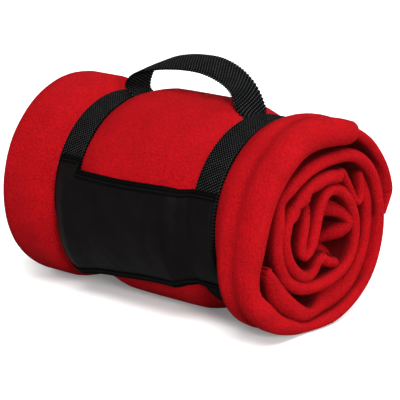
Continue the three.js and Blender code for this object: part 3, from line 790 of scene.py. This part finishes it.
for name, edge, sense in (("top", panel_top, 1), ("bottom", panel_bottom, -1)):
    turn = edge(xs) + sense * np.degrees((BINDING - SEAM_INSET) / PANEL_LIFT)
    sewn(f"panel_{name}_thread", [np.stack([xs, turn, panel_radius(xs, turn) + 1.2], -1)[1:-1]],
         "harness_and_blanket", [f"panel_{name}_seam"])
for name, x in (("left", PANEL_X[0] + SIDE_SEAM), ("right", PANEL_X[1] - SIDE_SEAM)):
    turn = np.linspace(panel_top(np.array(x)) + 6.5, panel_bottom(np.array(x)) - 6.5, 30)
    pulled = x + edge_pull(x, turn)
    sewn(f"panel_{name}_thread", [np.stack([pulled, turn, panel_radius(x, turn) + 0.45], -1)],
         "harness_and_blanket", [f"panel_{name}_seam"])


def box_lines(x_from, x_to, turn_from, turn_to, radius, crossed):
    """A box of stitches, with or without a cross in it."""
    corners = [(x_from, turn_from), (x_to, turn_from), (x_to, turn_to), (x_from, turn_to), (x_from, turn_from)]
    pairs = list(zip(corners[:-1], corners[1:]))
    pairs += [(corners[0], corners[2]), (corners[1], corners[3])] if crossed else []
    return [[(*a, radius), (*b, radius)] for a, b in pairs]


for side, name in ((-1, "left"), (1, "right")):
    middle = side * STRAP_X
    handle_box = box_lines(middle - HANDLE_BOX, middle + HANDLE_BOX, -HANDLE_BOX_TURN, HANDLE_BOX_TURN,
                           HANDLE_THREAD_RADIUS, True)
    sewn(f"{name}_handle_thread", handle_box, "harness_and_blanket", [f"handle_{name}_stitch"])
    tail_box = box_lines(middle - TAIL_BOX, middle + TAIL_BOX, *TAIL_BOX_TURNS, TAIL_THREAD_RADIUS, False)
    sewn(f"{name}_tail_thread", tail_box, f"{name}_tail", [f"{name}_tail_stitch"])

# ---- floor and lights ----
# A plain pale floor under a white studio, with one broad light from above and two soft lamps. The floor and the
# studio look lighter to the camera than the light they throw, so the ground stays white about the shadow.

FLOOR_HALF = 6
FLOOR_LIT, FLOOR_SEEN, FLOOR_GLOW = 0.4, 0.95, 0.15
STUDIO_LIT, STUDIO_SEEN = 0.42, 0.8  # light on the object, and how much more the camera sees
SUN_FROM, SUN_STRENGTH, SUN_SPREAD = (0.45, -0.6, 1.2), 3.2, 40

floor = bpy.data.objects.new("floor", bpy.data.meshes.new("floor"))
corners = [(x * FLOOR_HALF, y * FLOOR_HALF, 0) for x, y in ((-1, -1), (1, -1), (1, 1), (-1, 1))]
floor.data.from_pydata(corners, [], [(0, 1, 2, 3)])
bpy.context.scene.collection.objects.link(floor)
pale, tree, shader = material("pale_floor", 0.9, Emission_Color=(1, 1, 1, 1), Specular_IOR_Level=0.1)
seen = tree.nodes.new("ShaderNodeLightPath").outputs["Is Camera Ray"]
colour_by(tree, seen, (*[FLOOR_LIT] * 3, 1), (*[FLOOR_SEEN] * 3, 1), shader.inputs["Base Color"])
tree.links.new(maths(tree, "MULTIPLY", seen, FLOOR_GLOW), shader.inputs["Emission Strength"])
floor.data.materials.append(pale)

world = bpy.data.worlds.new("studio")
world.use_nodes = True
world.node_tree.nodes["Background"].inputs["Color"].default_value = (1, 1, 1, 1)
backdrop = world.node_tree.nodes["Background"].inputs["Strength"]
seen = world.node_tree.nodes.new("ShaderNodeLightPath").outputs["Is Camera Ray"]
strength = maths(world.node_tree, "ADD", maths(world.node_tree, "MULTIPLY", seen, STUDIO_SEEN), STUDIO_LIT)
world.node_tree.links.new(strength, backdrop)
bpy.context.scene.world = world
bpy.context.scene.view_settings.view_transform = "Standard"


def soft_light(name, place, size, watts):
    lamp = bpy.data.lights.new(name, "AREA")
    lamp.shape = "DISK"
    lamp.size = size
    lamp.energy = watts
    light = bpy.data.objects.new(name, lamp)
    light.location = place
    light.rotation_euler = (Vector(place) - AIM).to_track_quat("Z", "Y").to_euler()
    bpy.context.scene.collection.objects.link(light)


sun = bpy.data.objects.new("overhead", bpy.data.lights.new("overhead", "SUN"))
sun.data.energy = SUN_STRENGTH
sun.data.angle = math.radians(SUN_SPREAD)
sun.rotation_euler = Vector(SUN_FROM).to_track_quat("Z", "Y").to_euler()
bpy.context.scene.collection.objects.link(sun)
soft_light("side", (1.5, -1.0, 0.6), 0.4, 31)
soft_light("back", (0.7, 1.5, 1.2), 0.8, 22)
